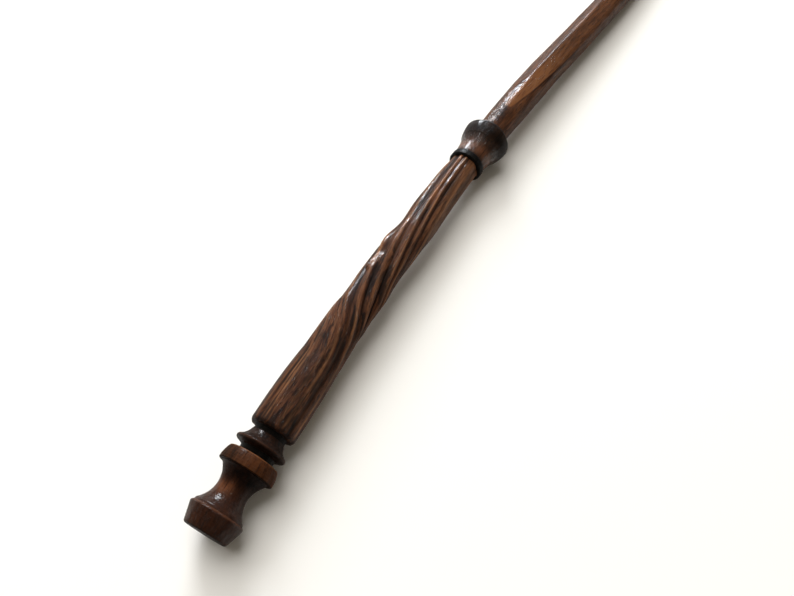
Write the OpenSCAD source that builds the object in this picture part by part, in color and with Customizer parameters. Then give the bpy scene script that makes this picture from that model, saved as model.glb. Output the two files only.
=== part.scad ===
// Hand-made wooden wand, lying on a table. A turned pommel, a twisted carved grip, a black
// ring, a flared collar and a whittled shaft are stacked on one centreline and held together
// by a hidden dowel at the pommel and a tenon at the collar.
//
// Stations are distances in mm along the centreline, from the pommel's end. In the wand's own
// frame the centreline starts at the origin, runs along +X and bends towards -Y. The whole
// wand is then rolled and pitched so that it rests on its disc, its collar and its tip.

/* [Overall] */
// Length along the centreline, from the pommel's end to the tip
wand_length = 355; // [335:1:375]
// Bend of the grip, in degrees
grip_bend = 5; // [3:0.5:7]
// Bend of the shaft just past the collar, in degrees
shaft_bend = 3; // [2:0.5:5]

/* [Pommel] */
// Length of the knob with its cove
knob_length = 16.3; // [15:0.1:18]
// Radius of the knob at its end face, before the edge is rounded
knob_end_r = 5.9; // [5.4:0.1:6.4]
// Largest radius of the knob
knob_r = 7.15; // [6.8:0.05:7.4]
// Radius of the cove at its waist
waist_r = 4.2; // [3.9:0.1:4.6]
// Radius of the cove's two ends
cove_end_r = 6.5; // [6.2:0.1:6.7]
// Height of the pale disc
disc_height = 3.9; // [3:0.1:5]
// Radius of the disc at its lower edge
disc_r = 7.45; // [7.3:0.05:7.8]
// Radius of the disc at its upper edge
disc_top_r = 6.75; // [6.3:0.05:7]
// Height of the black spacer between disc and bell
lower_neck_height = 1.6; // [1:0.1:2.5]
// Radius of that spacer
lower_neck_r = 4.9; // [4.4:0.1:5.4]
// Height of the bell
bell_height = 4.5; // [4:0.1:5.5]
// Radius of the bell's lip
bell_r = 7; // [6.7:0.05:7.2]
// Height of the black spacer between bell and grip
upper_neck_height = 1.4; // [1:0.1:2.5]
// Radius of that spacer
upper_neck_r = 4.6; // [4.2:0.1:5]

/* [Grip] */
// Length of the carved grip
grip_length = 104; // [96:1:112]
// Total left-handed twist of its grooves, in degrees
grip_twist = 168; // [0:4:220]
// Depth of the grooves where they are deepest
groove_depth = 0.9; // [0.3:0.05:1.1]

/* [Collar] */
// Width of the black ring
ring_width = 2.4; // [1.5:0.1:3.5]
// Radius of the black ring
ring_r = 5.7; // [5.4:0.1:6.2]
// Length of the flared collar
collar_length = 15.2; // [14:0.1:18]
// Radius of the collar at its narrow end
collar_foot_r = 5.3; // [5:0.1:5.6]
// Largest radius of the collar
collar_r = 7.9; // [7.5:0.05:8.2]

/* [Shaft] */
// Radius of the shaft where it leaves the collar
shaft_r = 5.1; // [4.8:0.1:5.4]
// Radius of the rounded tip
tip_r = 3; // [2.5:0.1:3.4]

/* [Joints] */
// Radius of the dowel through the pommel
dowel_r = 3; // [2.5:0.1:3.2]
// Radius of the shaft's tenon
tenon_r = 2.75; // [2.5:0.05:3]
// How far the dowel and the tenon go into the grip
joint_depth = 17; // [12:1:22]
// Glue gap around the dowel and the tenon
glue_gap = 0.03; // [0.02:0.01:0.08]

/* [Hidden] */
$fn = 72;

// Stations where each piece begins
disc_at = knob_length;
lower_neck_at = disc_at + disc_height;
bell_at = lower_neck_at + lower_neck_height;
upper_neck_at = bell_at + bell_height;
grip_at = upper_neck_at + upper_neck_height;
ring_at = grip_at + grip_length;
collar_at = ring_at + ring_width;
shaft_at = collar_at + collar_length;

dowel_from = 6.5;
dowel_chamfer = 0.6;
end_space = 0.6;     // empty length past the end of a dowel or tenon
collar_lip_at = 12.1; // from the collar's foot to its widest point

grip_bend_from = 4;  // straight length at the foot of the grip
shaft_bend_length = 48;
ring_sides = 52;     // points round one cross-section of the grip
shaft_sides = 36;
overlap = 3;         // how far the tenon is sunk into the carved solid of the shaft

// Centreline: [length, turn in degrees] of each stretch, and straight after the last one
STRETCHES = [[grip_at + grip_bend_from, 0],
             [grip_length - grip_bend_from, -grip_bend],
             [ring_width + collar_length, 0],
             [shaft_bend_length, -shaft_bend]];

// Share of the grip's length, radius in mm
GRIP_RADII = [[0, 6.35], [0.13, 6.35], [0.22, 5.95], [0.31, 5.65], [0.45, 5.5], [0.6, 5.45],
              [0.8, 5.15], [0.92, 4.9], [1, 4.7]];
// Share of the grip's length, share of its twist
GRIP_TWIST = [[0, 0], [0.14, 0], [0.22, 0.016], [0.31, 0.145], [0.41, 0.42], [0.5, 0.59],
              [0.6, 0.73], [0.7, 0.835], [0.79, 0.91], [0.91, 0.97], [1, 1]];
// Share of the grip's length, share of the groove depth
GROOVE_FADE = [[0, 0.25], [0.15, 0.45], [0.3, 0.9], [0.5, 1], [0.75, 0.8], [1, 0.45]];
// Direction in degrees at the foot of the grip (0 left, 90 up), relative depth, half width
GROOVES = [[70, 0.5, 18], [127, 1, 24], [166, 0.85, 19], [204, 0.85, 19], [234, 0.6, 12],
           [256, 0.75, 17], [311, 0.8, 27], [8, 0.9, 26]];
// Swellings and hollows left on the grip's two sides: direction, station past its foot, length, height
SWELLS = [[13, 20, 24, 0.22], [13, 46, 4, -0.28], [13, 63.5, 4.5, 0.7], [13, 73.5, 6, -0.7],
          [13, 93, 9, 0.48], [167, 46.5, 4, 0.4], [167, 56, 4.5, -0.35], [167, 75, 9, 0.65]];
swell_width = 28; // in degrees

// Share of the shaft's length, radius in mm between the collar and the rounded tip
SHAFT_RADII = [[0, shaft_r], [0.08, 5.4], [0.25, 5.45], [0.42, 5.3], [0.6, 4.75], [0.8, 3.9],
               [1, tip_r]];
// Flats whittled along the shaft: direction, station past the collar, length, depth
FLATS = [[54, -14, 40, 0.2], [91, 9, 95, 0.55], [40, 18, 75, 0.45], [160, -10, 85, 0.4],
         [350, 25, 110, 0.45], [310, -15, 120, 0.4], [270, 10, 90, 0.5], [215, 30, 110, 0.45],
         [130, 95, 100, 0.35], [55, 95, 100, 0.35], [25, 110, 85, 0.3], [285, 95, 100, 0.35],
         [185, 120, 80, 0.3]];

// ---------------------------------------------------------------- curves

function sum(v, i = 0) = i == len(v) ? 0 : v[i] + sum(v, i + 1);

// Value at x of the smooth curve through a table of [x, value] rows
function slope(t, i) = i == 0 || i == len(t) - 1 ? 0
    : (t[i + 1].y - t[i - 1].y) / (t[i + 1].x - t[i - 1].x);
function row_at(t, x, i = 0) = i >= len(t) - 2 || x < t[i + 1].x ? i : row_at(t, x, i + 1);
function smooth_at(t, x) =
    let (i = row_at(t, x), w = t[i + 1].x - t[i].x, u = min(1, max(0, (x - t[i].x) / w)))
    t[i].y * (1 - u) * (1 - u) * (1 + 2 * u) + t[i + 1].y * u * u * (3 - 2 * u)
    + w * u * (1 - u) * (slope(t, i) * (1 - u) - slope(t, i + 1) * u);

// Points on the arc of radius |r| from a to b; its centre is on the left of a-b when r > 0
function bow(a, b, r, n = 8) =
    let (d = b - a, k = sqrt(r * r - d * d / 4),
         c = (a + b) / 2 + sign(r) * k * [-d.y, d.x] / norm(d),
         from = atan2(a.y - c.y, a.x - c.x), to = atan2(b.y - c.y, b.x - c.x),
         sweep = (to - from + 540) % 360 - 180)
    [for (i = [0:n]) c + abs(r) * [cos(from + sweep * i / n), sin(from + sweep * i / n)]];

// ---------------------------------------------------------------- centreline

// [x, y, heading] after a stretch of the given length and turn
function step(p, length, turn) = abs(turn) < 0.001
    ? [p.x + length * cos(p.z), p.y + length * sin(p.z), p.z]
    : let (r = length * 180 / (PI * turn))
      [p.x + r * (sin(p.z + turn) - sin(p.z)), p.y - r * (cos(p.z + turn) - cos(p.z)), p.z + turn];

function centre(s, i = 0, p = [0, 0, 0]) =
    i == len(STRETCHES) ? step(p, s, 0)
    : s <= STRETCHES[i][0] ? step(p, s, STRETCHES[i][1] * s / STRETCHES[i][0])
    : centre(s - STRETCHES[i][0], i + 1, step(p, STRETCHES[i][0], STRETCHES[i][1]));

// A point beside the centreline: station, radius, direction round it (0 left, 90 up)
function beside(s, r, a) =
    let (p = centre(s)) [p.x - r * cos(a) * sin(p.z), p.y + r * cos(a) * cos(p.z), r * sin(a)];

// Moves its children from the X axis to a station of the centreline
module at(s) {
    p = centre(s);
    translate([p.x, p.y, 0]) rotate([0, 0, p.z]) children();
}

// Turned piece: its outline is [radius, station past where the piece begins]
module turned(s, outline) {
    at(s) rotate([0, 90, 0]) rotate_extrude() polygon(outline);
}

module rod(s, length, r) {
    at(s) rotate([0, 90, 0]) cylinder(h = length, r = r);
}

// ---------------------------------------------------------------- rest

// The wand touches the table at three round places: [x, y, radius]
disc_touch = [disc_at + 0.4, 0, disc_r];
collar_touch = let (p = centre(collar_at + collar_lip_at)) [p.x, p.y, collar_r];
tip_touch = let (p = centre(wand_length - tip_r)) [p.x, p.y, tip_r];

// Height = lift + x * rise + y * side, the same plane through all three radii
dc = collar_touch - disc_touch;
dt = tip_touch - disc_touch;
rise = (dc.z * dt.y - dt.z * dc.y) / (dc.x * dt.y - dt.x * dc.y);
side = (dc.x * dt.z - dt.x * dc.z) / (dc.x * dt.y - dt.x * dc.y);
pitch = asin(rise);
roll = asin(side / cos(pitch));
lift = disc_r - disc_touch.x * rise;

// Middle of the lying wand's outline, seen from above
mid_x = (tip_touch.x + tip_r) * cos(pitch) / 2;
mid_y = (disc_r + tip_touch.y * cos(roll) - tip_r) / 2;

module lying() {
    translate([-mid_x, -mid_y, lift]) rotate([0, -pitch, 0]) rotate([roll, 0, 0]) children();
}

// ---------------------------------------------------------------- pommel

module pommel_knob() {
    edge = 0.8;
    band_top = 4.9;
    color("#3a1d12") lying() turned(0, concat(
        [[0, 0]],
        bow([knob_end_r - edge, 0], [knob_end_r, 0.6], edge, 4),
        bow([knob_r, band_top - 0.4], [knob_r - 0.5, band_top + 0.5], 0.7, 5),
        bow([cove_end_r, 6], [waist_r, 11], -7, 8),
        bow([waist_r, 11], [cove_end_r, knob_length - 0.1], -7, 8),
        [[cove_end_r, knob_length], [dowel_r + glue_gap, knob_length],
         [dowel_r + glue_gap, dowel_from - end_space], [0, dowel_from - end_space]]));
}

module pommel_disc() {
    edge = 0.3;
    color("#6b3517") lying() turned(disc_at, concat(
        [[dowel_r + glue_gap, 0]],
        bow([disc_r - edge, 0], [disc_r, edge], edge, 3),
        bow([disc_r, edge + 0.1], [disc_top_r + 0.15, disc_height - 0.4], 8, 6),
        bow([disc_top_r + 0.1, disc_height - 0.3], [disc_top_r - 0.3, disc_height], 0.4, 3),
        [[dowel_r + glue_gap, disc_height]]));
}

// Black spacer with a slightly hollow side
module neck_ring(s, height, r) {
    hollow = 0.15;
    color("#15110f") lying() turned(s, concat(
        [[dowel_r + glue_gap, 0]],
        bow([r, 0], [r, height], -(height * height / (8 * hollow) + hollow / 2), 6),
        [[dowel_r + glue_gap, height]]));
}

module lower_neck_ring() neck_ring(lower_neck_at, lower_neck_height, lower_neck_r);

module upper_neck_ring() neck_ring(upper_neck_at, upper_neck_height, upper_neck_r);

module bell_ring() {
    lip = 0.5;
    color("#2c1710") lying() turned(bell_at, concat(
        [[dowel_r + glue_gap, 0], [lower_neck_r, 0]],
        bow([bell_r - lip, 0.7], [bell_r, 1.2], lip, 4),
        bow([bell_r, 1.3], [bell_r - 0.3, 1.75], lip, 3),
        bow([bell_r - 0.45, 1.85], [upper_neck_r + 0.1, bell_height], -4.2, 8),
        [[dowel_r + glue_gap, bell_height]]));
}

module pommel_dowel() {
    length = grip_at + joint_depth - dowel_from;
    color("#b98d5c") lying() turned(dowel_from,
        [[0, 0], [dowel_r - dowel_chamfer, 0], [dowel_r, dowel_chamfer],
         [dowel_r, length - dowel_chamfer], [dowel_r - dowel_chamfer, length], [0, length]]);
}

// ---------------------------------------------------------------- carved solids

// Closed skin over rings of points, each ring with the same number of points
module skin(rings) {
    n = len(rings[0]);
    last = (len(rings) - 1) * n;
    polyhedron(
        points = [for (ring = rings) each ring],
        faces = concat(
            [[for (j = [0:n - 1]) j]],
            [for (i = [0:len(rings) - 2], j = [0:n - 1])
                let (k = (j + 1) % n)
                each [[i * n + j, (i + 1) * n + j, (i + 1) * n + k],
                      [i * n + j, (i + 1) * n + k, i * n + k]]],
            [[for (j = [n - 1:-1:0]) last + j]]));
}

// Signed difference of two directions, from -180 to 180
function apart(a, b) = let (d = (a - b) % 360) d > 180 ? d - 360 : d < -180 ? d + 360 : d;

// A gouged groove with a sharp bottom: 1 there, 0 outside its half width
function groove(a, direction, half_width) =
    pow(max(0, 1 - abs(apart(a, direction)) / half_width), 1.5);

// A smooth hill of height 1 that is width wide at its waist
function bump(x, width) = exp(-pow(x / width, 2));

function grip_r(u, a) =
    let (turn = grip_twist * smooth_at(GRIP_TWIST, u),
         cut = sum([for (g = GROOVES) g[1] * groove(a + turn, g[0], g[2])]),
         swell = sum([for (w = SWELLS)
             w[3] * bump(apart(a, w[0]), swell_width) * bump(u * grip_length - w[1], w[2])]))
    smooth_at(GRIP_RADII, u) - groove_depth * smooth_at(GROOVE_FADE, u) * cut + swell;

// Radius of the rounded edge at the grip's foot, as a share of the full radius
function foot_round(s) = let (edge = 1.1) s >= edge ? 1 : 1 - 0.11 * pow(1 - s / edge, 2);

module grip() {
    steps = 56;
    stations = concat([0, 0.35, 0.75, 1.1], [for (i = [1:steps]) 1.1 + (grip_length - 1.1) * i / steps]);
    bore_r = dowel_r + glue_gap;
    color("#5a3521") lying() difference() {
        skin([for (s = stations)
            [for (j = [0:ring_sides - 1])
                let (a = 360 * j / ring_sides)
                beside(grip_at + s, foot_round(s) * grip_r(s / grip_length, a), a)]]);
        rod(grip_at - 1, joint_depth + end_space + 1, bore_r);
        at(ring_at) rotate([0, -90, 0]) translate([0, 0, -1])
            cylinder(h = joint_depth + end_space + 1, r = tenon_r + glue_gap);
    }
}

// Radius of a round bar cut by long shallow flats
function shaft_round(s) = smooth_at(SHAFT_RADII, s / (wand_length - tip_r - shaft_at));

function flat_depth(f, s) =
    let (u = (s - f[1]) / f[2]) u <= 0 || u >= 1 ? 0 : f[3] * pow(sin(180 * u), 0.7);

function shaft_cut_r(s, a) =
    let (r = shaft_round(s))
    min([r, each [for (f = FLATS) let (d = abs(apart(a, f[0])))
        d < 60 ? (r - flat_depth(f, s)) / cos(d) : r]]);

module shaft() {
    steps = 70;
    tip_steps = 6;
    tip_end_angle = 78;
    body = wand_length - tip_r - shaft_at;
    color("#54301d") lying() {
        skin(concat(
            [for (i = [0:steps])
                let (s = body * i / steps)
                [for (j = [0:shaft_sides - 1])
                    let (a = 360 * j / shaft_sides) beside(shaft_at + s, shaft_cut_r(s, a), a)]],
            [for (i = [1:tip_steps])
                let (t = tip_end_angle * i / tip_steps)
                [for (j = [0:shaft_sides - 1])
                    let (a = 360 * j / shaft_sides)
                    beside(shaft_at + body + tip_r * sin(t), tip_r * cos(t), a)]]));
        rod(ring_at - joint_depth, joint_depth + shaft_at - ring_at + overlap, tenon_r);
    }
}

// ---------------------------------------------------------------- collar

module collar_black_ring() {
    edge = 0.5;
    color("#141210") lying() turned(ring_at, concat(
        [[tenon_r + glue_gap, 0]],
        bow([ring_r - edge, 0], [ring_r, edge], edge, 4),
        bow([ring_r, ring_width - edge], [ring_r - edge, ring_width], edge, 4),
        [[tenon_r + glue_gap, ring_width]]));
}

module collar() {
    color("#2b1a14") lying() turned(collar_at, concat(
        [[tenon_r + glue_gap, 0], [collar_foot_r - 0.15, 0], [collar_foot_r, 0.15]],
        bow([collar_foot_r + 0.05, 0.5], [collar_foot_r + 0.55, 4.5], -60, 4),
        bow([collar_foot_r + 0.57, 4.6], [collar_r - 0.85, 7.8], -12, 6),
        bow([collar_r - 0.7, 8.3], [collar_r, collar_lip_at], 18, 5),
        bow([collar_r, collar_lip_at + 0.1], [collar_r - 0.4, collar_lip_at + 0.55], 0.5, 4),
        bow([collar_r - 0.5, collar_lip_at + 0.6], [shaft_r + 0.1, collar_length], 6, 5),
        [[tenon_r + glue_gap, collar_length]]));
}

pommel_knob();
pommel_disc();
lower_neck_ring();
bell_ring();
upper_neck_ring();
pommel_dowel();
grip();
collar_black_ring();
collar();
shaft();
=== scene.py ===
"""Looks of a hand-made wooden wand: dense carved and turned meshes over the CAD frame,
procedural wood under gloss varnish, a pale floor, soft light and the camera.

Stations are distances in mm along the wand's centreline, from the pommel's end, and
directions round it are in degrees, 0 to the wand's left and 90 up, as in the CAD model.
Short names in the formulas: s for a station, z for the distance past a piece's own foot, r for
a radius, a for a direction and p for a direction in radians.
"""
import math

import bpy
import numpy as np
from mathutils import Matrix, Vector


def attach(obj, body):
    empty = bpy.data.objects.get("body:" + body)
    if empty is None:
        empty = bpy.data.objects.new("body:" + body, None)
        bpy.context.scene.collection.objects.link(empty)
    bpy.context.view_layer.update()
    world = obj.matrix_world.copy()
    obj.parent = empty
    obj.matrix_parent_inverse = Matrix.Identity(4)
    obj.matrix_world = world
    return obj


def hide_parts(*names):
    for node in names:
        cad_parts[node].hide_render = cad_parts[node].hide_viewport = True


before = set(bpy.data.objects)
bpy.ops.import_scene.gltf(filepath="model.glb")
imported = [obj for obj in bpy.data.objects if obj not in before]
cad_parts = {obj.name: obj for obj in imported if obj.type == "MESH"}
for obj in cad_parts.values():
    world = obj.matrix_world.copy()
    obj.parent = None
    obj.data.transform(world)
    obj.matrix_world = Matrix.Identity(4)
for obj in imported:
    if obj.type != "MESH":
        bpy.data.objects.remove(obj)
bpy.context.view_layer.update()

MM = 0.001

# ---------------------------------------------------------------- driving dimensions, mm

WAND_LENGTH = 355.0
GRIP_BEND = 5.0
SHAFT_BEND = 3.0

DISC_AT = 16.3
LOWER_NECK_AT = 20.2
BELL_AT = 21.8
UPPER_NECK_AT = 26.3
GRIP_AT = 27.7
RING_AT = 131.7
COLLAR_AT = 134.1
SHAFT_AT = 149.3

KNOB_END_R = 5.9
KNOB_R = 7.15
WAIST_R = 4.2
COVE_END_R = 6.5
DISC_R = 7.45
DISC_EDGE = 0.3
DISC_WIDEST_AT = 0.4
DISC_TOP_R = 6.75
LOWER_NECK_R = 4.9
BELL_R = 7.0
UPPER_NECK_R = 4.6
RING_R = 5.7
COLLAR_FOOT_R = 5.3
COLLAR_R = 7.9
COLLAR_LIP_AT = 12.1
SHAFT_R = 5.1
TIP_R = 3.0

GLUE_GAP = 0.03
DOWEL_R = 3.0
DOWEL_BORE_R = DOWEL_R + GLUE_GAP
TENON_R = 2.75
TENON_BORE_R = TENON_R + GLUE_GAP
JOINT_DEPTH = 17.0
END_SPACE = 0.6
DOWEL_FROM = 6.5

GRIP_LENGTH = RING_AT - GRIP_AT
SHAFT_BODY = WAND_LENGTH - TIP_R - SHAFT_AT

# Length and turn of each stretch of the centreline; it is straight after the last one
STRAIGHT_FOOT = 4
SHAFT_BEND_LENGTH = 48
STRETCHES = [(GRIP_AT + STRAIGHT_FOOT, 0), (GRIP_LENGTH - STRAIGHT_FOOT, -GRIP_BEND),
             (SHAFT_AT - RING_AT, 0), (SHAFT_BEND_LENGTH, -SHAFT_BEND)]

# The grip's carving, as in the CAD model: share of its length against radius, twist and depth
GRIP_RADII = [(0, 6.35), (0.13, 6.35), (0.22, 5.95), (0.31, 5.65), (0.45, 5.5), (0.6, 5.45),
              (0.8, 5.15), (0.92, 4.9), (1, 4.7)]
GRIP_TWIST = [(0, 0), (0.14, 0), (0.22, 0.016), (0.31, 0.145), (0.41, 0.42), (0.5, 0.59),
              (0.6, 0.73), (0.7, 0.835), (0.79, 0.91), (0.91, 0.97), (1, 1)]
TWIST = 168
GROOVE_FADE = [(0, 0.25), (0.15, 0.45), (0.3, 0.9), (0.5, 1), (0.75, 0.8), (1, 0.45)]
# Its grooves: direction at the foot, share of the depth, half width
GROOVES = [(70, 0.5, 18), (127, 1, 24), (166, 0.85, 19), (204, 0.85, 19), (234, 0.6, 12),
           (256, 0.75, 17), (311, 0.8, 27), (8, 0.9, 26)]
GROOVE_DEPTH = 0.9
# Swellings and hollows left on its two sides: direction, station past its foot, length, height
SWELLS = [(13, 20, 24, 0.22), (13, 46, 4, -0.28), (13, 63.5, 4.5, 0.7), (13, 73.5, 6, -0.7),
          (13, 93, 9, 0.48), (167, 46.5, 4, 0.4), (167, 56, 4.5, -0.35), (167, 75, 9, 0.65)]
SWELL_WIDTH = 28
# Sharp crests between its grooves, rubbed pale: direction at the foot, width
CRESTS = [(48, 2), (56, 2.5), (106, 4), (148, 4.5), (188, 4.5), (222, 4), (243, 3.5), (282, 5),
          (339, 5)]
PROUD_CRESTS = (222, 243)
# The smooth flank of its broadest ridge: the direction it faces, how far it is from the
# centreline at a station past the foot, and how much nearer it gets per mm from there
FLANK_FACES = 62
FLANK_R = 5.0
FLANK_AT = 56
FLANK_SLOPE = 0.12

# Share of the shaft's length against radius
SHAFT_RADII = [(0, SHAFT_R), (0.08, 5.4), (0.25, 5.45), (0.42, 5.3), (0.6, 4.75), (0.8, 3.9),
               (1, TIP_R)]
# Its knife-cut flats: direction, station past the collar where it starts, length, depth
FLATS = [(54, -14, 40, 0.2), (91, 9, 95, 0.55), (40, 18, 75, 0.45), (160, -10, 85, 0.4),
         (350, 25, 110, 0.45), (310, -15, 120, 0.4), (270, 10, 90, 0.5), (215, 30, 110, 0.45),
         (130, 95, 100, 0.35), (55, 95, 100, 0.35), (25, 110, 85, 0.3), (285, 95, 100, 0.35),
         (185, 120, 80, 0.3)]

# Distance between a turned outline's points, and the angle in degrees from which an edge is sharp
MESH_STEP = 0.16
SHARP_ANGLE = 50


# ---------------------------------------------------------------- curves

def smooth_at(table, x):
    """Value at x of the smooth curve through a table of (x, value) rows."""
    t = np.array(table, float)
    slopes = np.zeros(len(t))
    slopes[1:-1] = (t[2:, 1] - t[:-2, 1]) / (t[2:, 0] - t[:-2, 0])
    x = np.asarray(x, float)
    i = np.clip(np.searchsorted(t[:, 0], x, side="right") - 1, 0, len(t) - 2)
    width = t[i + 1, 0] - t[i, 0]
    u = np.clip((x - t[i, 0]) / width, 0, 1)
    return (t[i, 1] * (1 - u) ** 2 * (1 + 2 * u) + t[i + 1, 1] * u * u * (3 - 2 * u)
            + width * u * (1 - u) * (slopes[i] * (1 - u) - slopes[i + 1] * u))


def bow(a, b, r, n):
    """Points on the arc of radius |r| from a to b; its centre is on the left of a-b when r > 0."""
    a, b = np.array(a, float), np.array(b, float)
    d = b - a
    k = math.sqrt(r * r - d @ d / 4)
    c = (a + b) / 2 + math.copysign(k, r) * np.array([-d[1], d[0]]) / math.hypot(*d)
    start = math.atan2(a[1] - c[1], a[0] - c[0])
    end = math.atan2(b[1] - c[1], b[0] - c[0])
    sweep = (end - start + 3 * math.pi) % (2 * math.pi) - math.pi
    turns = start + sweep * np.linspace(0, 1, n + 1)
    return [tuple(c + abs(r) * np.array([math.cos(t), math.sin(t)])) for t in turns]


def refine(points, longest=MESH_STEP):
    """The same outline with points no further apart than longest."""
    out = [points[0]]
    for a, b in zip(points, points[1:]):
        n = max(1, math.ceil(math.dist(a, b) / longest))
        out += [tuple(np.add(a, np.subtract(b, a) * i / n)) for i in range(1, n + 1)]
    return out


def apart(a, b):
    """Signed difference of two directions, from -180 to 180."""
    return (np.asarray(a) - b + 180) % 360 - 180


def bump(x, middle, width):
    """A smooth hill of height 1 in the middle, which falls to 0.37 at width from it."""
    return np.exp(-((np.asarray(x) - middle) / width) ** 2)


def smooth_step(x, low, high):
    """0 below low, 1 above high and smooth between them."""
    u = np.clip((x - low) / (high - low), 0, 1)
    return u * u * (3 - 2 * u)


def plateau(x, rise, top, fall, end):
    """0 up to rise, 1 from top to fall, 0 after end and smooth between them."""
    return smooth_step(x, rise, top) * (1 - smooth_step(x, fall, end))


def groove(a, direction, half_width):
    """A gouged groove with a sharp bottom: 1 there, 0 outside its half width."""
    return np.clip(1 - np.abs(apart(a, direction)) / half_width, 0, 1) ** 1.5


def directions(sides):
    """That many directions, evenly spaced round the centreline."""
    return np.arange(sides) * 360 / sides


# ---------------------------------------------------------------- centreline and rest

def step(place, length, turn):
    """(x, y, heading) after a stretch of that length and turn in radians."""
    x, y, heading = place
    if abs(turn) < 1e-9:
        return x + length * math.cos(heading), y + length * math.sin(heading), heading
    r = length / turn
    end = heading + turn
    return (x + r * (math.sin(end) - math.sin(heading)),
            y - r * (math.cos(end) - math.cos(heading)), end)


def centre(s):
    """(x, y, heading) of the centreline at station s."""
    place = (0.0, 0.0, 0.0)
    for length, turn in STRETCHES:
        part = min(s, length)
        place = step(place, part, math.radians(turn) * part / length)
        if s <= length:
            return place
        s -= length
    return step(place, s, 0)


def beside(s, r, a):
    """Points in the wand's own frame, mm, for arrays of station, radius and direction."""
    s, r, a = np.broadcast_arrays(s, r, np.radians(a))
    stations, where = np.unique(s, return_inverse=True)
    line = np.array([centre(v) for v in stations])[where.reshape(s.shape)]
    side = r * np.cos(a)
    return np.stack([line[..., 0] - side * np.sin(line[..., 2]),
                     line[..., 1] + side * np.cos(line[..., 2]),
                     r * np.sin(a)], -1)


def resting():
    """Matrix from the wand's frame in mm to the CAD model's in m: it lies on disc, collar and tip."""
    disc = np.array([DISC_AT + DISC_WIDEST_AT, 0, DISC_R])
    collar = np.array([*centre(COLLAR_AT + COLLAR_LIP_AT)[:2], COLLAR_R])
    tip = np.array([*centre(WAND_LENGTH - TIP_R)[:2], TIP_R])
    dc, dt = collar - disc, tip - disc
    det = dc[0] * dt[1] - dt[0] * dc[1]
    rise = (dc[2] * dt[1] - dt[2] * dc[1]) / det
    side = (dc[0] * dt[2] - dt[0] * dc[2]) / det
    pitch = math.asin(rise)
    roll = math.asin(side / math.cos(pitch))
    middle = Vector(((tip[0] + TIP_R) * math.cos(pitch) / 2,
                     (DISC_R + tip[1] * math.cos(roll) - TIP_R) / 2, 0))
    lift = DISC_R - disc[0] * rise
    return (Matrix.Scale(MM, 4) @ Matrix.Translation(Vector((0, 0, lift)) - middle)
            @ Matrix.Rotation(-pitch, 4, "Y") @ Matrix.Rotation(roll, 4, "X"))


LYING = resting()


# ---------------------------------------------------------------- meshes

def add_piece(name, nodes, s, r, a, grain_turn, marks, material, closed=False):
    """A closed skin over rings. s, r and grain_turn are (rings, 1 or sides), a is (sides,).

    marks are point attributes that the materials read. An open stack of rings is closed by a
    vertex on the centreline at each end; a closed one joins its last ring to its first.
    """
    s, r, a, grain_turn = np.broadcast_arrays(s, r, a, grain_turn)
    rings, sides = s.shape
    points = beside(s, r, a).reshape(-1, 3)
    turned = np.radians(a + grain_turn)
    grain = np.stack([s, r * np.cos(turned), r * np.sin(turned)], -1).reshape(-1, 3)
    marks = {key: np.broadcast_to(values, s.shape).ravel() for key, values in marks.items()}
    ring, side = np.meshgrid(np.arange(rings if closed else rings - 1), np.arange(sides), indexing="ij")
    next_ring, next_side = (ring + 1) % rings, (side + 1) % sides
    corners = [ring * sides + side, next_ring * sides + side, next_ring * sides + next_side,
               ring * sides + next_side]
    faces = np.stack(corners, -1).reshape(-1, 4).tolist()
    if not closed:
        ends = [beside([s[0, 0]], [0.0], [0.0]), beside([s[-1, 0]], [0.0], [0.0])]
        points = np.vstack([points, *ends])
        grain = np.vstack([grain, [[s[0, 0], 0, 0], [s[-1, 0], 0, 0]]])
        marks = {key: np.append(values, [0.0, 0.0]) for key, values in marks.items()}
        first, last, base = rings * sides, rings * sides + 1, (rings - 1) * sides
        faces += [(first, n, (n + 1) % sides) for n in range(sides)]
        faces += [(last, base + (n + 1) % sides, base + n) for n in range(sides)]
    mesh = bpy.data.meshes.new(name)
    mesh.from_pydata([tuple(LYING @ Vector(point)) for point in points], [], faces)
    grain_data = mesh.attributes.new("grain", "FLOAT_VECTOR", "POINT").data
    grain_data.foreach_set("vector", grain.astype(np.float32).ravel())
    for key, values in marks.items():
        data = mesh.attributes.new(key, "FLOAT", "POINT").data
        data.foreach_set("value", values.astype(np.float32))
    mesh.shade_smooth()
    mesh.update()
    mesh.set_sharp_from_angle(angle=math.radians(SHARP_ANGLE))
    mesh.materials.append(material)
    piece = bpy.data.objects.new(name, mesh)
    bpy.context.scene.collection.objects.link(piece)
    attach(piece, "root")
    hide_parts(*nodes)


def round_rings(points, sides):
    """Stations and radii of round rings, as columns, from (station, radius) points."""
    points = np.array(points)
    return points[:, :1], np.repeat(points[:, 1:], sides, 1)


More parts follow.
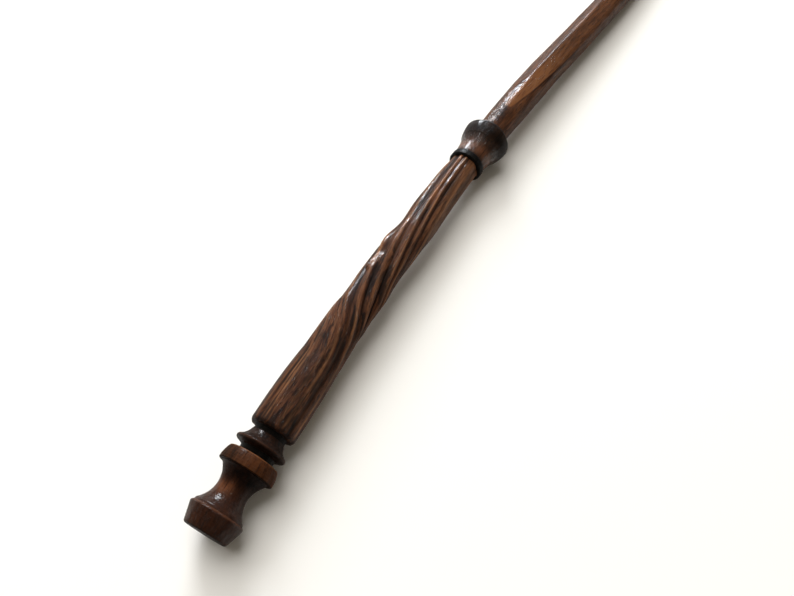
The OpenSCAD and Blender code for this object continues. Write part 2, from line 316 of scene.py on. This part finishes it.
def add_turned(name, node, at, outline, bore, material, wear=(), dark=(), shaded=(),
               tooling=1.0, sides=144):
    """A piece turned on a lathe. outline is (radius, station past at), from foot to head.

    wear and dark are (station past at, width) of the rubbed rims and of the stained stretches, and
    shaded is (direction, width, amount) of the sides darkened with painted shade.
    """
    points = np.array(refine(outline))
    radius, z = points[:, :1], points[:, 1:]
    a = directions(sides)
    seed = at * 0.7
    # a turned surface is never quite even: faint tool rings, and a little out of round
    tool = tooling * (0.012 * np.sin(z * 9.1 + seed) + 0.01 * np.sin(z * 15.7 + 2 * seed))
    out_of_round = 0.035 * np.sin(np.radians(2 * a + 40 * seed))
    out_of_round = out_of_round + 0.02 * np.sin(np.radians(3 * a + 70 * seed))
    r = radius + (tool + out_of_round) * (radius > bore + 0.5)
    worn = sum((bump(z, rim, width) for rim, width in wear), 0 * z)
    stained = sum((bump(z, middle, width) for middle, width in dark), 0 * z)
    # painted shade: sides darkened by direction, carried in the hollow mark together with the stain
    shade = sum((amount * bump(apart(a, direction), 0, width)
                 for direction, width, amount in shaded), 0 * a)
    # one more ring halfway along the bore, which is stained all over
    half_way, bore_r = round_rings([((z[0, 0] + z[-1, 0]) / 2, bore)], sides)
    marks = {"wear": np.vstack([worn, [[0]]]),
             "hollow": np.clip(np.vstack([stained, [[1]]]) + shade, 0, 1)}
    add_piece(name, [node], at + np.vstack([z, half_way]), np.vstack([r, bore_r]), a, 0.0, marks,
              material, closed=True)


# ---------------------------------------------------------------- materials

# Depth of the bare wood's relief in mm, and roughness of the varnish where it is dull
WOOD_RELIEF = 0.08
DULL_GLOSS = 0.24


class Shader:
    """A material's node tree, with short calls for the nodes that the woods use."""

    def __init__(self, name):
        self.material = bpy.data.materials.new(name)
        self.material.use_nodes = True
        self.tree = self.material.node_tree
        self.principled = self.tree.nodes["Principled BSDF"]

    def add(self, kind, inputs=None, **settings):
        node = self.tree.nodes.new(kind)
        for key, value in settings.items():
            setattr(node, key, value)
        self.fill(node, inputs or {})
        return node

    def fill(self, node, inputs):
        for key, value in inputs.items():
            if isinstance(value, bpy.types.NodeSocket):
                self.tree.links.new(value, node.inputs[key])
            else:
                node.inputs[key].default_value = value

    def attribute(self, name, output="Fac"):
        return self.add("ShaderNodeAttribute", attribute_name=name).outputs[output]

    def noise(self, vector, scale, detail=4.0, distortion=0.0, roughness=0.55):
        """Noise over the grain, scale being features per mm along it and across it."""
        mapped = self.add("ShaderNodeMapping", {"Vector": vector, "Scale": scale})
        return self.add("ShaderNodeTexNoise", {
            "Vector": mapped.outputs["Vector"], "Scale": 1.0, "Detail": detail,
            "Roughness": roughness, "Distortion": distortion}).outputs["Fac"]

    def times(self, a, b):
        return self.add("ShaderNodeMath", {0: a, 1: b}, operation="MULTIPLY").outputs[0]

    def total(self, *parts):
        """Sum of (value, factor) pairs."""
        terms = [self.times(value, factor) for value, factor in parts]
        result = terms[0]
        for term in terms[1:]:
            result = self.add("ShaderNodeMath", {0: result, 1: term}, operation="ADD").outputs[0]
        return result

    def spread(self, value, low, high, to_low=0.0, to_high=1.0):
        """Stretches low..high to to_low..to_high, smoothly and clamped."""
        return self.add("ShaderNodeMapRange", {
            "Value": value, "From Min": low, "From Max": high, "To Min": to_low, "To Max": to_high},
            interpolation_type="SMOOTHSTEP").outputs["Result"]

    def mix(self, factor, under, over):
        """The colour under, with over laid on it by factor."""
        return self.add("ShaderNodeMix", {0: factor, 6: under, 7: (*over, 1)}, data_type="RGBA").outputs[2]

    def bumped(self, height, depth):
        """Normal of a surface with relief of that depth in mm."""
        return self.add("ShaderNodeBump", {
            "Strength": 1.0, "Distance": depth * MM, "Height": height}).outputs["Normal"]

    def ramp(self, factor, stops):
        node = self.add("ShaderNodeValToRGB", {"Fac": factor})
        elements = node.color_ramp.elements
        while len(elements) < len(stops):
            elements.new(0.5)
        for element, (place, colour) in zip(elements, stops):
            element.position = place
            element.color = (*colour, 1)
        return node.outputs["Color"]


def wood(name, dark, middle, light, stain_and_shade, worn, pores=0.7, contrast=1.0, blotches=0.0, film=0.09,
         gloss=0.06, coat=0.22, short=1.0):
    """Stained open-grained wood under varnish. Colours are linear (r, g, b).

    The grain follows each mesh's grain attribute, so that it twists with the carving; short makes
    it shorter. The wood is darker where hollow is high, from pooled staining and from painted shade,
    and the varnish is thin there and where bare is high. The staining has been rubbed thin where
    wear is high, and the varnish is duller where dull is high.
    """
    sh = Shader(name)
    grain = sh.attribute("grain", "Vector")
    hollow = sh.attribute("hollow")
    wear = sh.attribute("wear")
    # the grain's own pattern, from broad bands to fine hairs
    broad = sh.noise(grain, (0.03 * short, 0.3, 0.3), detail=3, distortion=0.5)
    streaks = sh.noise(grain, (0.06 * short, 1.1, 1.1), detail=4, distortion=0.3)
    hairs = sh.noise(grain, (0.12 * short, 3.2, 3.2), detail=3)
    half = 0.14 / contrast
    value = sh.spread(sh.total((streaks, 0.4), (broad, 0.33), (hairs, 0.27)), 0.5 - half, 0.5 + half)
    colour = sh.ramp(value, [(0.0, dark), (0.45, middle), (1.0, light)])
    # staining in blotches and pores, staining and painted shade in the hollows, rubbed off again where worn
    blotch = sh.spread(sh.noise(grain, (0.12, 0.55, 0.55), detail=4, distortion=0.8), 0.5, 0.6)
    pore = sh.noise(grain, (0.22 * short, 1.9, 1.9), detail=4, roughness=0.7)
    pore = sh.spread(pore, 0.39, 0.47, 1.0, 0.0)
    # where hollow is high: pooled staining, and painted shade in the grip's grooves and on the disc's sides
    pooled_stain_and_shade = sh.times(hollow, sh.spread(streaks, 0.3, 0.6, 1.0, 0.75))
    for share in (sh.times(blotch, blotches), sh.times(pore, pores), pooled_stain_and_shade):
        colour = sh.mix(share, colour, stain_and_shade)
    colour = sh.mix(sh.times(wear, sh.spread(hairs, 0.25, 0.52)), colour, worn)
    # the wood's relief shows through the film of varnish, which has lumps of its own
    relief = sh.total((streaks, 0.6), (hairs, 0.4), (pore, -0.5))
    lumps = sh.noise(grain, (0.7, 0.8, 0.8), detail=3)
    skin = sh.total((lumps, 0.9), (relief, 0.8))
    varnish = sh.spread(sh.noise(grain, (0.2, 0.8, 0.8), detail=3), 0.38, 0.6, 0.55, 1.2)
    varnish = sh.times(varnish, sh.spread(hollow, 0.0, 1.0, coat, 0.2 * coat))
    varnish = sh.times(varnish, sh.spread(sh.attribute("bare"), 0.0, 1.0, 1.0, 0.15))
    sh.fill(sh.principled, {
        "Base Color": colour,
        "Roughness": 0.6,
        "Normal": sh.bumped(relief, WOOD_RELIEF),
        "Specular IOR Level": 0.03,
        "Coat Weight": varnish,
        "Coat Roughness": sh.spread(sh.attribute("dull"), 0.0, 1.0, gloss, DULL_GLOSS),
        "Coat Normal": sh.bumped(skin, film)})
    return sh.material


# its stain colour also serves as painted shade in the grooves
GRIP_WOOD = wood(
    "grip_wood", dark=(0.02, 0.0075, 0.0042), middle=(0.06, 0.022, 0.0105), light=(0.14, 0.055, 0.025),
    stain_and_shade=(0.0075, 0.0045, 0.0038), worn=(0.3, 0.135, 0.062),
    contrast=0.9, blotches=0.85, film=0.1, short=1.8)
SHAFT_WOOD = wood(
    "shaft_wood", dark=(0.022, 0.0075, 0.0035), middle=(0.07, 0.0245, 0.0095), light=(0.13, 0.049, 0.019),
    stain_and_shade=(0.009, 0.0035, 0.0018), worn=(0.17, 0.066, 0.023),
    contrast=0.9, blotches=0.35, film=0.11, short=1.6)
KNOB_WOOD = wood(
    "knob_wood", dark=(0.008, 0.003, 0.0016), middle=(0.024, 0.0078, 0.0038), light=(0.042, 0.0145, 0.0066),
    stain_and_shade=(0.002, 0.0015, 0.0014), worn=(0.16, 0.054, 0.02),
    contrast=0.55, pores=0.3, coat=0.3)
# its stain colour also serves as painted shade on the disc's sides
DISC_WOOD = wood(
    "disc_wood", dark=(0.027, 0.0083, 0.003), middle=(0.057, 0.0185, 0.0062), light=(0.092, 0.033, 0.012),
    stain_and_shade=(0.005, 0.0025, 0.0012), worn=(0.13, 0.05, 0.018),
    contrast=0.6, pores=0.35, blotches=0.35, gloss=0.2, coat=0.04)
BELL_WOOD = wood(
    "bell_wood", dark=(0.004, 0.0022, 0.0015), middle=(0.013, 0.0058, 0.0036), light=(0.03, 0.013, 0.008),
    stain_and_shade=(0.002, 0.0015, 0.0012), worn=(0.04, 0.017, 0.01),
    contrast=0.6, film=0.12, coat=0.12)
COLLAR_WOOD = wood(
    "collar_wood", dark=(0.007, 0.0033, 0.0022), middle=(0.022, 0.0095, 0.0055), light=(0.05, 0.022, 0.011),
    stain_and_shade=(0.003, 0.002, 0.0015), worn=(0.1, 0.037, 0.017),
    contrast=0.6, film=0.075, coat=0.6)
BLACK_WOOD = wood(
    "black_wood", dark=(0.002, 0.0018, 0.0016), middle=(0.0038, 0.0032, 0.0028),
    light=(0.008, 0.0065, 0.0055), stain_and_shade=(0.0015, 0.0015, 0.0015), worn=(0.03, 0.02, 0.013),
    contrast=0.6, film=0.14, coat=0.08)
DOWEL_WOOD = wood(
    "dowel_wood", dark=(0.35, 0.2, 0.09), middle=(0.5, 0.31, 0.16), light=(0.62, 0.42, 0.24),
    stain_and_shade=(0.3, 0.17, 0.08), worn=(0.6, 0.4, 0.22),
    pores=0.2, gloss=0.5, coat=0.0)


# ---------------------------------------------------------------- pommel

def knob():
    edge, band_top, bore_end = 0.8, 4.9, DOWEL_FROM - END_SPACE
    outline = (bow((KNOB_END_R - edge, 0), (KNOB_END_R, 0.6), edge, 10)
               + bow((KNOB_R, band_top - 0.4), (KNOB_R - 0.5, band_top + 0.5), 0.7, 10)
               + bow((COVE_END_R, 6), (WAIST_R, 11), -7, 20)
               + bow((WAIST_R, 11), (COVE_END_R, DISC_AT - 0.1), -7, 20)[1:]
               + [(COVE_END_R, DISC_AT)])
    flat = [(r, 0.0) for r in np.linspace(0.4, KNOB_END_R - edge, 16)]
    points = np.array(flat + refine(outline)[1:])
    sides = 160
    a = directions(sides)
    radius, z = points[:, :1], points[:, 1:]
    tool = 0.012 * np.sin(z * 8.3) + 0.01 * np.sin(z * 14.9 + 1)
    out_of_round = 0.03 * np.sin(np.radians(2 * a + 50))
    r = radius + (tool + out_of_round) * (radius > 2)
    # a patch rubbed through the staining at the waist, with a ragged edge
    ragged = 0.35 * np.sin(np.radians(5 * a + 20)) + 0.25 * np.sin(np.radians(11 * a))
    patch = np.exp(-(apart(a, 50) / 42) ** 4) * bump(z, 10.8 + ragged, 1.5)
    wear = 0.28 * bump(z, band_top + 0.3, 0.25) + 0.08 * bump(z, 0.5, 0.3) + 0.5 * patch
    # the upper half of the cove is stained dark, most of all on top, and so is the end
    hollow = bump(z, 14.6, 3.2) * (0.65 + 0.4 * np.cos(np.radians(a - 110))) + 0.8 * bump(z, 0.0, 0.8)
    bore = [(DISC_AT, DOWEL_BORE_R), ((DISC_AT + bore_end) / 2, DOWEL_BORE_R), (bore_end, DOWEL_BORE_R)]
    bore_s, bore_r = round_rings(bore, sides)
    marks = {"wear": np.vstack([np.clip(wear, 0, 1), np.zeros_like(bore_r)]),
             "hollow": np.vstack([np.clip(hollow, 0, 1), np.ones_like(bore_r)])}
    add_piece("turned_knob", ["pommel_knob"], np.vstack([z, bore_s]), np.vstack([r, bore_r]), a, 0.0,
              marks, KNOB_WOOD)


def disc():
    height = LOWER_NECK_AT - DISC_AT
    outline = ([(DOWEL_BORE_R, 0)] + bow((DISC_R - DISC_EDGE, 0), (DISC_R, DISC_EDGE), DISC_EDGE, 8)
               + bow((DISC_R, DISC_WIDEST_AT), (DISC_TOP_R + 0.15, height - 0.4), 8, 12)
               + bow((DISC_TOP_R + 0.1, height - 0.3), (DISC_TOP_R - 0.3, height), 0.4, 8)
               + [(DOWEL_BORE_R, height)])
    # painted shade darkens the disc's left side, and a little of its right side
    add_turned("turned_disc", "pommel_disc", DISC_AT, outline, DOWEL_BORE_R, DISC_WOOD,
               wear=((height - 0.15, 0.15),), dark=((0.0, 0.15),),
               shaded=((25, 46, 0.85), (150, 12, 0.2)))


def neck(name, node, at, height, r):
    dip = 0.15
    bow_r = height * height / (8 * dip) + dip / 2
    outline = [(DOWEL_BORE_R, 0)] + bow((r, 0), (r, height), -bow_r, 14) + [(DOWEL_BORE_R, height)]
    add_turned(name, node, at, outline, DOWEL_BORE_R, BLACK_WOOD, sides=96)


def bell():
    height, lip = UPPER_NECK_AT - BELL_AT, 0.5
    outline = ([(DOWEL_BORE_R, 0), (LOWER_NECK_R, 0)]
               + bow((BELL_R - lip, 0.7), (BELL_R, 1.2), lip, 8)
               + bow((BELL_R, 1.3), (BELL_R - 0.3, 1.75), lip, 8)
               + bow((BELL_R - 0.45, 1.85), (UPPER_NECK_R + 0.1, height), -4.2, 16)
               + [(DOWEL_BORE_R, height)])
    add_turned("turned_bell", "bell_ring", BELL_AT, outline, DOWEL_BORE_R, BELL_WOOD,
               wear=((1.25, 0.15),))


def dowel():
    chamfer, length, r = 0.6, GRIP_AT + JOINT_DEPTH - DOWEL_FROM, DOWEL_R
    outline = [(r - chamfer, 0), (r, chamfer), (r, length - chamfer), (r - chamfer, length)]
    points = np.array(refine(outline, 0.8))
    add_piece("inner_dowel", ["pommel_dowel"], DOWEL_FROM + points[:, 1:], points[:, :1],
              directions(64), 0.0, {"wear": 0.0, "hollow": 0.0}, DOWEL_WOOD)


# ---------------------------------------------------------------- grip

def flutes(z, p):
    """Unevenly spaced scoops with sharp crests between: how far into a scoop, and its depth."""
    phase = 7.0 * p + 1.3 * np.sin(2 * p + 0.7) + 0.9 * np.sin(3 * p + 2.0 + z / 31)
    scoop = np.abs(np.cos(phase + 0.4 * np.sin(p - z / 17)))
    uneven = 0.55 + 0.45 * np.sin(4 * p + z / 23) * np.sin(2 * p - z / 37 + 1)
    return scoop, uneven


def gouged(z, p, fade, fluted):
    """How deep the gouge's marks are: flutes, finer ones between them, and ripples."""
    scoop, uneven = flutes(z, p)
    finer = np.abs(np.cos(16.0 * p + 2.1 * np.sin(3 * p + z / 19) + 1.2 * np.sin(5 * p + 1 - z / 43)))
    finer = finer * (0.5 + 0.5 * np.sin(2 * p + z / 13))
    ripple = np.sin(z / 2.9 + 3 * np.sin(p)) * np.sin(z / 7.3 + 2 * p)
    return (0.06 * (0.35 + 0.65 * fade) * scoop * uneven + 0.03 * finer) * fluted - 0.03 * ripple


def grip_marks(z, a, twisted, fade, cut, fluted, flank):
    """Grooves hold stain and painted shade; stain at the foot, wear on crests, little varnish on the left."""
    p = np.radians(twisted)
    scoop, uneven = flutes(z, p)
    strength = 0.45 + 0.55 * fade
    crest = sum(bump(apart(twisted, direction), 0, width) for direction, width in CRESTS)
    # the grooves are darkened by pooled stain and by painted shade, most of all at their bottoms
    hollow = 1.3 * strength * cut ** 1.4 + 0.15 * uneven * scoop ** 3 * fluted - 0.08
    hollow = np.clip(hollow, 0, 1) * (1 - flank) + 0.5 * (1 - smooth_step(z, 0.2, 1.2))
    wear = crest * strength * (0.65 + 0.35 * np.sin(z / 4.3 + 5 * p)) * (1 - 0.5 * bump(z, 44, 30))
    wear = wear + 0.25 * (1 - fluted) + 0.2 * (1 - scoop) ** 3 * (1 - cut) * fluted
    bare = 0.65 * (1 - smooth_step(z, 42, 50)) + 0.8 * smooth_step(z, 64, 74)
    bare = bare * bump(a, 35, 25) * (1 - crest)
    return {"wear": np.clip(wear * smooth_step(z, 0.2, 2.5), 0, 1), "hollow": np.clip(hollow, 0, 1),
            "bare": np.clip(bare, 0, 1) * (1 - flank)}


def grip():
    sides, rows = 320, 460
    a = directions(sides)
    foot = [0, 0.15, 0.35, 0.55, 0.75, 0.95, 1.1]
    z = np.concatenate([foot, np.linspace(foot[-1], GRIP_LENGTH, rows + 1)[1:]])[:, None]
    turn = TWIST * smooth_at(GRIP_TWIST, z / GRIP_LENGTH)
    fade = smooth_at(GROOVE_FADE, z / GRIP_LENGTH)
    # the direction at the foot that the twist has carried here
    twisted = a + turn
    p = np.radians(twisted)
    cut = sum(depth * groove(twisted, direction, half) * (0.95 + 0.25 * np.sin(z / 9 + direction))
              for direction, depth, half in GROOVES)
    r = smooth_at(GRIP_RADII, z / GRIP_LENGTH) + 0.1 * fade - GROOVE_DEPTH * fade * cut
    # fine flutes all over, but for one band of the upper third, which is left plain
    fluted = 1 - smooth_step(z, 68, 78) * smooth_step(twisted % 360, 256, 264) * (twisted % 360 < 345)
    r = r - gouged(z, p, fade, fluted)
    r = r + sum(height * bump(apart(a, direction), 0, SWELL_WIDTH) * bump(z, at, length)
                for direction, at, length, height in SWELLS)
    # the smooth flank of the broadest ridge faces up, to the left and a little towards the tip
    flank = plateau(a, 27, 34, 50, 60) * plateau(z, 50.5, 53, 58.5, 62)
    flank_r = FLANK_R - FLANK_SLOPE * (z - FLANK_AT)
    r = r * (1 - flank) + flank_r / np.cos(np.radians(np.clip(a - FLANK_FACES, -45, 45))) * flank
    # two crests stand proud at the upper end, and the foot's edge is unevenly chipped
    proud = sum(bump(apart(twisted, direction), 0, 3.5) for direction in PROUD_CRESTS)
    r = r + 0.1 * smooth_step(z, 62, 80) * proud
    chipped = 0.09 + 0.05 * np.abs(np.sin(3.5 * p[:1] + 1))
    r = r * (1 - chipped * np.clip(1 - z / foot[-1], 0, 1) ** 2)
    marks = grip_marks(z, a, twisted, fade, cut, fluted, flank)
    z, r, turn, marks = with_bores(z, r, turn, marks)
    add_piece("carved_grip", ["grip"], GRIP_AT + z, r, a, turn, marks, GRIP_WOOD)


def with_bores(z, r, turn, marks):
    """Adds the grip's blind bores, ends and walls, before its first ring and after its last."""
    sides = r.shape[1]
    dowel_end = JOINT_DEPTH + END_SPACE
    tenon_end = GRIP_LENGTH - dowel_end
    first_z, first_r = round_rings(
        [(dowel_end, DOWEL_BORE_R * 0.3), (dowel_end, DOWEL_BORE_R), (0, DOWEL_BORE_R),
         (0, (DOWEL_BORE_R + r[0].min()) / 2)], sides)
    last_z, last_r = round_rings(
        [(GRIP_LENGTH, (TENON_BORE_R + r[-1].min()) / 2), (GRIP_LENGTH, TENON_BORE_R),
         (tenon_end, TENON_BORE_R), (tenon_end, TENON_BORE_R * 0.3)], sides)
    pad = ((len(first_z), len(last_z)), (0, 0))
    in_bore = {"wear": 0.0, "hollow": 1.0, "bare": 1.0}
    marks = {key: np.pad(values, pad, constant_values=in_bore[key]) for key, values in marks.items()}
    return (np.vstack([first_z, z, last_z]), np.vstack([first_r, r, last_r]),
            np.pad(turn, pad, mode="edge"), marks)


# ---------------------------------------------------------------- collar

def black_ring():
    width, edge = COLLAR_AT - RING_AT, 0.5
    outline = ([(TENON_BORE_R, 0)] + bow((RING_R - edge, 0), (RING_R, edge), edge, 10)
               + bow((RING_R, width - edge), (RING_R - edge, width), edge, 10)
               + [(TENON_BORE_R, width)])
    add_turned("turned_black_ring", "collar_black_ring", RING_AT, outline, TENON_BORE_R, BLACK_WOOD)


def collar():
    length, lip_at = SHAFT_AT - COLLAR_AT, COLLAR_LIP_AT
    outline = ([(TENON_BORE_R, 0), (COLLAR_FOOT_R - 0.15, 0), (COLLAR_FOOT_R, 0.15)]
               + bow((COLLAR_FOOT_R + 0.05, 0.5), (COLLAR_FOOT_R + 0.55, 4.5), -60, 10)
               + bow((COLLAR_FOOT_R + 0.57, 4.6), (COLLAR_R - 0.85, 7.8), -12, 12)
               + bow((COLLAR_R - 0.7, 8.3), (COLLAR_R, lip_at), 18, 12)
               + bow((COLLAR_R, lip_at + 0.1), (COLLAR_R - 0.4, lip_at + 0.55), 0.5, 10)
               + bow((COLLAR_R - 0.5, lip_at + 0.6), (SHAFT_R + 0.1, length), 6, 10)
               + [(TENON_BORE_R, length)])
    add_turned("turned_collar", "collar", COLLAR_AT, outline, TENON_BORE_R, COLLAR_WOOD,
               wear=((2.5, 2.0),), dark=((9.5, 2.6), (13.6, 1.6)), tooling=0.3)


# ---------------------------------------------------------------- shaft

def with_flats(z, a):
    """The shaft's radius with its flats, whose ridges are sharpest beside the collar."""
    round_r = smooth_at(SHAFT_RADII, z / SHAFT_BODY)
    r = np.repeat(round_r, len(a), 1)
    for direction, start, length, depth in FLATS:
        off = np.abs(apart(a, direction))
        share = np.clip((z - start) / length, 0, 1)
        cut = depth * np.sin(np.pi * share) ** 0.7
        flat = (round_r - cut) / np.maximum(np.cos(np.radians(off)), 0.5)
        soft = (0.11 + 0.12 * smooth_step(z, 22, 45)) * cut / depth + 0.0001
        blend = np.minimum(r, flat) - soft * np.log1p(np.exp(-np.abs(r - flat) / soft))
        r = np.where((off < 60) & (cut > 0), blend, r)
    return r


def chatter(z, p):
    """Waves up to 2 high, like the marks of a blade that chattered."""
    waves = np.sin(z * 4.3 + 3 * np.sin(5 * p)) * np.sin(19 * p + 2 * np.sin(z * 1.7))
    waves = waves + 0.5 * np.sin(z * 2.1 + 9 * p)
    return waves + 0.5 * np.sin(z * 7.1 + 4 * np.sin(7 * p)) * np.sin(31 * p + z)


def shaft_marks(z, a):
    """A long pale patch on top from just past the collar, with a stained line below it.

    Beside the collar the blade's marks and a knot are stained, and further on the
    varnish is duller.
    """
    lower_edge = 85 + 54 * (1 - np.exp(-np.maximum(z - 10, 0) / 25))
    upper_edge = 62 - 4 * np.sin(z / 9)
    ends = 1 - 0.8 * smooth_step(z, 25, 60)
    inside = smooth_step(lower_edge - a, -1.5, 3) * smooth_step(a - upper_edge, -4, 5)
    line = bump(a, lower_edge + 3, 3) * smooth_step(z, 9.6, 18) * ends
    knot = bump(z, 6.5, 3.6) * bump(a, 80, 18)
    pits = smooth_step(-chatter(z, np.radians(a)), -0.2, 0.7) * bump(z, 5, 6) * bump(a, 58, 30)
    bare = 0.6 * smooth_step(z, 38, 60) * bump(a, 35, 22)
    bare = bare + 0.75 * (1 - smooth_step(z, 18, 34)) * bump(a, 76, 16)
    return {"wear": inside * smooth_step(z, 9.6, 10.4) * ends,
            "hollow": np.clip(0.9 * line + 0.8 * knot + pits, 0, 1),
            "dull": smooth_step(z, 22, 60), "bare": bare}


def shaft():
    sides, rows, tip_rows = 256, 400, 24
    a = directions(sides)
    p = np.radians(a)
    z = np.concatenate([np.arange(0, 30, 0.18), np.linspace(30, SHAFT_BODY, rows)])[:, None]
    r = with_flats(z, a)
    r = r + 0.055 * np.sin(z / 3.7 + 2 * np.sin(p)) * np.sin(z / 9.1 + 3 * p)
    r = r - 0.03 * np.abs(np.cos(9 * p + np.sin(2 * p + z / 40))) * (0.5 + 0.5 * np.sin(2 * p + z / 21))
    r = r + 0.06 * chatter(z, p) * bump(z, 5, 15) * bump(a, 48, 26)
    # the tip: the same sides run on to a rounded end
    round_end = np.radians(np.linspace(0, 86, tip_rows + 1)[1:])[:, None]
    z = np.vstack([z, SHAFT_BODY + TIP_R * np.sin(round_end)])
    r = np.vstack([r, np.cos(round_end) * r[-1]])
    # the tenon comes first: its end, its wall and the shoulder that meets the collar
    tenon_end = SHAFT_AT - RING_AT + JOINT_DEPTH
    tenon = [(-tenon_end, TENON_R * 0.5)]
    tenon += [(-tenon_end * share, TENON_R) for share in (1, 0.75, 0.5, 0.25, 0)]
    tenon += [(0, (TENON_R + r[0].min()) / 2)]
    tenon_z, tenon_r = round_rings(tenon, sides)
    pad = ((len(tenon), 0), (0, 0))
    marks = {key: np.pad(values, pad, mode="edge") for key, values in shaft_marks(z, a).items()}
    add_piece("whittled_shaft", ["shaft"], SHAFT_AT + np.vstack([tenon_z, z]), np.vstack([tenon_r, r]),
              a, 0.0, marks, SHAFT_WOOD)


knob()
disc()
neck("lower_spacer", "lower_neck_ring", LOWER_NECK_AT, BELL_AT - LOWER_NECK_AT, LOWER_NECK_R)
bell()
neck("upper_spacer", "upper_neck_ring", UPPER_NECK_AT, GRIP_AT - UPPER_NECK_AT, UPPER_NECK_R)
dowel()
grip()
black_ring()
collar()
shaft()


# ---------------------------------------------------------------- floor, light and camera

def add_floor():
    half = 3.0
    corners = [(-half, -half, 0), (half, -half, 0), (half, half, 0), (-half, half, 0)]
    mesh = bpy.data.meshes.new("floor")
    mesh.from_pydata(corners, [], [(0, 1, 2, 3)])
    floor = bpy.data.objects.new("floor", mesh)
    bpy.context.scene.collection.objects.link(floor)
    sh = Shader("pale_floor")
    sh.fill(sh.principled, {"Base Color": (0.86, 0.85, 0.83, 1), "Roughness": 0.9, "Specular IOR Level": 0.2})
    mesh.materials.append(sh.material)


# What the lights are aimed at: a point on the grip's side of the middle
LIT_POINT = Vector((-0.05, 0, 0))


def add_light(name, azimuth, elevation, distance, size, watts, colour, lights=True, glints=False):
    """An area light above the wand, by its direction in degrees, distance and size in m.

    It lights the surfaces, or shows only as a glint in the varnish.
    """
    data = bpy.data.lights.new(name, "AREA")
    data.shape = "RECTANGLE"
    data.size, data.size_y = size
    data.energy = watts
    data.color = colour
    light = bpy.data.objects.new(name, data)
    bpy.context.scene.collection.objects.link(light)
    az, el = math.radians(azimuth), math.radians(elevation)
    outward = Vector((math.cos(el) * math.cos(az), math.cos(el) * math.sin(az), math.sin(el)))
    light.location = LIT_POINT + distance * outward
    light.rotation_euler = outward.to_track_quat("Z", "Y").to_euler()
    light.visible_diffuse = lights
    light.visible_glossy = glints


def add_world(colour, strength):
    world = bpy.data.worlds.new("soft_room")
    world.use_nodes = True
    background = world.node_tree.nodes["Background"]
    background.inputs["Color"].default_value = (*colour, 1)
    background.inputs["Strength"].default_value = strength
    bpy.context.scene.world = world


def add_camera():
    """Held above the pommel's end, looking down and along the wand."""
    place = Vector((-0.18475, -0.03618, 0.1667))
    looks_at = Vector((-0.0945, 0.00674, 0.0))
    roll = math.radians(-3.52)
    data = bpy.data.cameras.new("camera")
    data.sensor_width = 36
    data.lens = 29.7
    data.clip_start = 0.01
    camera = bpy.data.objects.new("camera", data)
    bpy.context.scene.collection.objects.link(camera)
    aim = (looks_at - place).to_track_quat("-Z", "Y").to_matrix().to_4x4()
    camera.matrix_world = Matrix.Translation(place) @ aim @ Matrix.Rotation(-roll, 4, "Z")
    bpy.context.scene.camera = camera


add_floor()
add_light("window", 40, 27, 1.6, (0.72, 0.74), 27.0, (0.95, 0.98, 1.0))
add_light("ceiling", 62, 62, 1.6, (1.4, 1.5), 26.0, (1.0, 0.985, 0.95))
add_light("window_glint", 36, 27, 1.5, (0.66, 0.22), 62.0, (0.9, 0.95, 1.0), lights=False, glints=True)
add_world((1.0, 0.9, 0.74), 0.21)
add_camera()
bpy.context.scene.view_settings.view_transform = "Standard"
